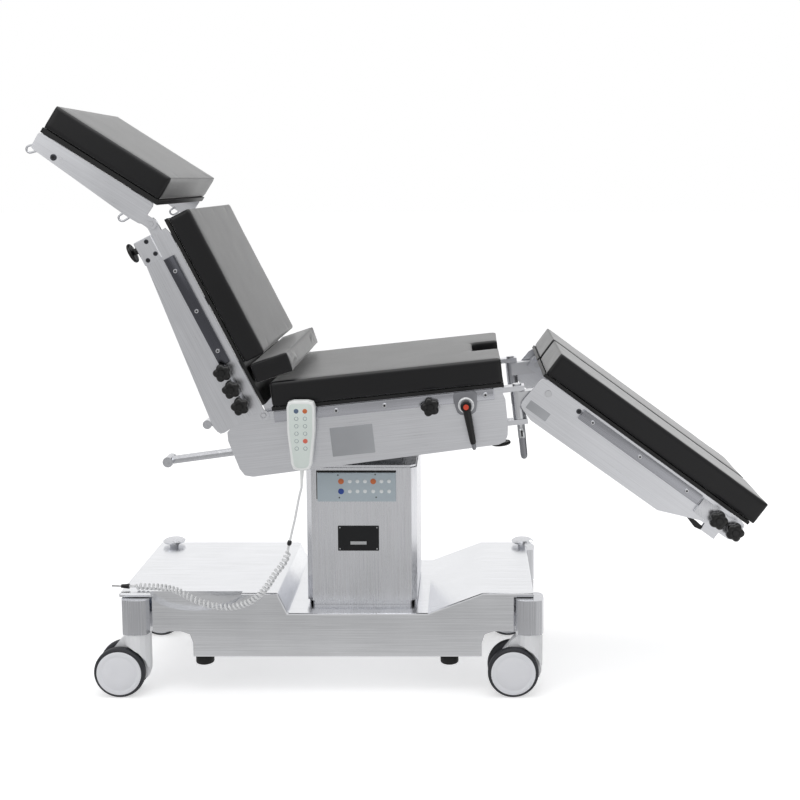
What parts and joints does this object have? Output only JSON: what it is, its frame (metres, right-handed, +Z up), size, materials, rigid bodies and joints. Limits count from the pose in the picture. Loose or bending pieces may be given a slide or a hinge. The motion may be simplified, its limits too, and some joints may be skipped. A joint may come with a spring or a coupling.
{
  "type": "operating table",
  "caption": "Electro-hydraulic operating table on a wheeled base, with a lifting column, tilting seat, raised back, head section and split leg sections.",
  "frame": {"origin": "on the floor under the middle of the table, where the casters stand", "axes": "+Z up, +X towards the leg end, -Y towards the side with the control panel and the hand control"},
  "size_m": [1.7275, 0.5753, 1.4288],
  "materials": {
    "stainless": "satin brushed stainless steel",
    "frame_steel": "satin steel sheet and bar",
    "dark_steel": "dark painted steel",
    "blue_enamel": "painted housing",
    "aluminium": "satin cast aluminium",
    "chrome": "polished tube",
    "black_plastic": "black moulded plastic",
    "board": "black laminate board",
    "black_leather": "black seamless artificial leather over foam",
    "black_rubber": "black rubber",
    "tyre": "twin wheel with dark tread and white disc",
    "white_plastic": "white caster housing",
    "pale_plastic": "pale green-grey plastic",
    "cord": "pale cord sheath",
    "red_plastic": "red button",
    "panel_film": "printed membrane film, left without its texts"
  },
  "bodies": {
    "base": {"base_cover": "stainless", "base_chassis": "frame_steel", "power_unit": "blue_enamel", "battery_pack": "black_plastic", "column_cover": "stainless", "control_panel": "panel_film", "curly_cord": "cord", "cord_plug": "black_plastic"},
    "lift": {"inner_column": "dark_steel"},
    "tilt_block": {"trunnion_block": "dark_steel"},
    "seat": {"seat_frame": "frame_steel", "seat_board": "board", "seat_cushion": "black_leather", "push_handle": "chrome", "back_cylinder": "dark_steel", "handset": "pale_plastic", "handset_lead": "cord", "cord_collar": "black_plastic"},
    "back": {"back_frame": "frame_steel", "back_board": "board", "back_cushion": "black_leather"},
    "kidney": {"kidney_cushion": "black_leather", "kidney_bracket": "frame_steel"},
    "head": {"head_frame": "frame_steel", "head_board": "board", "head_cushion": "black_leather"},
    "leg_swing_right": {"leg_hinge_right": "aluminium"},
    "leg_right": {"leg_frame_right": "frame_steel", "leg_board_right": "board", "leg_cushion_right": "black_leather"},
    "swing_lever_right": {"swing_lock_lever_right": "aluminium"},
    "leg_release_right": {"leg_release_lever_right": "black_plastic"},
    "leg_knob_right_1": {"leg_star_knob_right_1": "black_plastic"},
    "leg_knob_right_2": {"leg_star_knob_right_2": "black_plastic"},
    "leg_swing_left": {"leg_hinge_left": "aluminium"},
    "leg_left": {"leg_frame_left": "frame_steel", "leg_board_left": "board", "leg_cushion_left": "black_leather"},
    "swing_lever_left": {"swing_lock_lever_left": "aluminium"},
    "leg_release_left": {"leg_release_lever_left": "black_plastic"},
    "leg_knob_left_1": {"leg_star_knob_left_1": "black_plastic"},
    "leg_knob_left_2": {"leg_star_knob_left_2": "black_plastic"},
    "back_knob_1": {"back_star_knob_1": "black_plastic"},
    "back_knob_2": {"back_star_knob_2": "black_plastic"},
    "back_knob_3": {"back_star_knob_3": "black_plastic"},
    "head_knob": {"head_lock_knob": "black_plastic"},
    "seat_knob": {"seat_star_knob": "black_plastic"},
    "seat_disc": {"seat_disc_knob": "black_plastic"},
    "clamp_lever": {"clamp_lever": "black_plastic"},
    "clamp_button": {"clamp_button": "red_plastic"},
    "head_feet": {"head_locking_feet": "black_rubber"},
    "swivel_head_right": {"caster_hood_head_right": "white_plastic"},
    "wheels_head_right": {"wheels_head_right": "tyre"},
    "swivel_head_left": {"caster_hood_head_left": "white_plastic"},
    "wheels_head_left": {"wheels_head_left": "tyre"},
    "foot_feet": {"foot_locking_feet": "black_rubber"},
    "swivel_foot_right": {"caster_hood_foot_right": "white_plastic"},
    "wheels_foot_right": {"wheels_foot_right": "tyre"},
    "swivel_foot_left": {"caster_hood_foot_left": "white_plastic"},
    "wheels_foot_left": {"wheels_foot_left": "tyre"}
  },
  "joints": [
    {"name": "column_lift", "type": "slide", "parent": "base", "child": "lift", "axis": [0, 0, 1], "range_m": [0, 0.3], "deforming": ["curly_cord"]},
    {"name": "trendelenburg_tilt", "type": "hinge", "parent": "lift", "child": "tilt_block", "pos_m": [-0.1201, 0, 0.645], "axis": [0, -1, 0], "range_deg": [-26.1, 18.9]},
    {"name": "lateral_tilt", "type": "hinge", "parent": "tilt_block", "child": "seat", "pos_m": [-0.1201, 0, 0.645], "axis": [0.9943, 0, 0.1063], "range_deg": [-20, 20]},
    {"name": "back_section", "type": "hinge", "parent": "seat", "child": "back", "pos_m": [-0.34082, 0, 0.70589], "axis": [0, 1, 0], "range_deg": [-69.5, 5.5]},
    {"name": "kidney_pad", "type": "hinge", "parent": "back", "child": "kidney", "pos_m": [-0.34715, 0, 0.81232], "axis": [0, -1, 0], "range_deg": [-82.1, 6.6]},
    {"name": "head_section", "type": "hinge", "parent": "back", "child": "head", "pos_m": [-0.59332, 0, 1.15876], "axis": [0, 1, 0], "range_deg": [-59.2, 39.8]},
    {"name": "leg_swing_right", "type": "hinge", "parent": "seat", "child": "leg_swing_right", "pos_m": [0.26968, -0.222, 0.68666], "axis": [-0.1063, 0, 0.9943], "range_deg": [-90, 0]},
    {"name": "leg_pitch_right", "type": "hinge", "parent": "leg_swing_right", "child": "leg_right", "pos_m": [0.33348, -0.222, 0.75784], "axis": [0, 1, 0], "range_deg": [-57.3, 47.7]},
    {"name": "swing_lever_right", "type": "hinge", "parent": "leg_swing_right", "child": "swing_lever_right", "pos_m": [0.27138, -0.222, 0.67075], "axis": [0.9943, 0, 0.1063], "range_deg": [-90, 0]},
    {"name": "leg_release_right", "type": "hinge", "parent": "leg_right", "child": "leg_release_right", "pos_m": [0.71205, -0.215, 0.42004], "axis": [0, 1, 0], "range_deg": [0, 15], "stiffness_Nm_per_rad": 1, "springref_deg": -5.73},
    {"name": "leg_knob_right_1", "type": "hinge", "parent": "leg_right", "child": "leg_knob_right_1", "pos_m": [0.73841, -0.2583, 0.45775], "axis": [0, -1, 0], "range_deg": [0, 180]},
    {"name": "leg_knob_right_2", "type": "hinge", "parent": "leg_right", "child": "leg_knob_right_2", "pos_m": [0.77795, -0.2583, 0.42881], "axis": [0, -1, 0], "range_deg": [0, 180]},
    {"name": "leg_swing_left", "type": "hinge", "parent": "seat", "child": "leg_swing_left", "pos_m": [0.26968, 0.222, 0.68666], "axis": [0.1063, 0, -0.9943], "range_deg": [-90, 0]},
    {"name": "leg_pitch_left", "type": "hinge", "parent": "leg_swing_left", "child": "leg_left", "pos_m": [0.33348, 0.222, 0.75784], "axis": [0, 1, 0], "range_deg": [-57.3, 47.7]},
    {"name": "swing_lever_left", "type": "hinge", "parent": "leg_swing_left", "child": "swing_lever_left", "pos_m": [0.27138, 0.222, 0.67075], "axis": [-0.9943, 0, -0.1063], "range_deg": [-90, 0]},
    {"name": "leg_release_left", "type": "hinge", "parent": "leg_left", "child": "leg_release_left", "pos_m": [0.71205, 0.215, 0.42004], "axis": [0, 1, 0], "range_deg": [0, 15], "stiffness_Nm_per_rad": 1, "springref_deg": -5.73},
    {"name": "leg_knob_left_1", "type": "hinge", "parent": "leg_left", "child": "leg_knob_left_1", "pos_m": [0.73841, 0.2583, 0.45775], "axis": [0, 1, 0], "range_deg": [0, 180]},
    {"name": "leg_knob_left_2", "type": "hinge", "parent": "leg_left", "child": "leg_knob_left_2", "pos_m": [0.77795, 0.2583, 0.42881], "axis": [0, 1, 0], "range_deg": [0, 180]},
    {"name": "back_knob_1", "type": "hinge", "parent": "back", "child": "back_knob_1", "pos_m": [-0.43078, -0.2583, 0.81183], "axis": [0, -1, 0], "range_deg": [0, 180]},
    {"name": "back_knob_2", "type": "hinge", "parent": "back", "child": "back_knob_2", "pos_m": [-0.41085, -0.2583, 0.77204], "axis": [0, -1, 0], "range_deg": [0, 180]},
    {"name": "back_knob_3", "type": "hinge", "parent": "back", "child": "back_knob_3", "pos_m": [-0.39092, -0.2583, 0.73225], "axis": [0, -1, 0], "range_deg": [0, 180]},
    {"name": "head_knob", "type": "hinge", "parent": "back", "child": "head_knob", "pos_m": [-0.62844, -0.228, 1.09644], "axis": [-0.8942, 0, -0.4478], "range_deg": [0, 180]},
    {"name": "seat_knob", "type": "hinge", "parent": "seat", "child": "seat_knob", "pos_m": [0.05485, -0.2533, 0.73007], "axis": [0, -1, 0], "range_deg": [0, 180]},
    {"name": "seat_disc", "type": "hinge", "parent": "seat", "child": "seat_disc", "pos_m": [0.22226, -0.178, 0.64106], "axis": [0.1063, 0, -0.9943], "range_deg": [0, 180]},
    {"name": "clamp_lever", "type": "hinge", "parent": "seat", "child": "clamp_lever", "pos_m": [0.13912, -0.2653, 0.73204], "axis": [0, -1, 0], "range_deg": [-45, 60]},
    {"name": "clamp_button", "type": "slide", "parent": "clamp_lever", "child": "clamp_button", "axis": [0, 1, 0], "range_m": [0, 0.003], "stiffness_N_per_m": 400, "springref_m": -0.002},
    {"name": "head_feet_down", "type": "slide", "parent": "base", "child": "head_feet", "axis": [0, 0, -1], "range_m": [0, 0.066]},
    {"name": "swivel_head_right", "type": "hinge", "parent": "base", "child": "swivel_head_right", "pos_m": [-0.6691, -0.203, 0], "axis": [0, 0, 1], "continuous": true},
    {"name": "roll_head_right", "type": "hinge", "parent": "swivel_head_right", "child": "wheels_head_right", "pos_m": [-0.7091, -0.203, 0.0625], "axis": [0, 1, 0], "continuous": true},
    {"name": "swivel_head_left", "type": "hinge", "parent": "base", "child": "swivel_head_left", "pos_m": [-0.6691, 0.203, 0], "axis": [0, 0, 1], "continuous": true},
    {"name": "roll_head_left", "type": "hinge", "parent": "swivel_head_left", "child": "wheels_head_left", "pos_m": [-0.7091, 0.203, 0.0625], "axis": [0, 1, 0], "continuous": true},
    {"name": "foot_feet_down", "type": "slide", "parent": "base", "child": "foot_feet", "axis": [0, 0, -1], "range_m": [0, 0.066]},
    {"name": "swivel_foot_right", "type": "hinge", "parent": "base", "child": "swivel_foot_right", "pos_m": [0.2949, -0.203, 0], "axis": [0, 0, 1], "continuous": true},
    {"name": "roll_foot_right", "type": "hinge", "parent": "swivel_foot_right", "child": "wheels_foot_right", "pos_m": [0.2549, -0.203, 0.0625], "axis": [0, 1, 0], "continuous": true},
    {"name": "swivel_foot_left", "type": "hinge", "parent": "base", "child": "swivel_foot_left", "pos_m": [0.2949, 0.203, 0], "axis": [0, 0, 1], "continuous": true},
    {"name": "roll_foot_left", "type": "hinge", "parent": "swivel_foot_left", "child": "wheels_foot_left", "pos_m": [0.2549, 0.203, 0.0625], "axis": [0, 1, 0], "continuous": true}
  ],
  "couplings": [
    {"joint": "kidney_pad", "follows": "back_section", "ratio": 1.18},
    {"joint": "foot_feet_down", "follows": "head_feet_down", "ratio": 1}
  ]
}
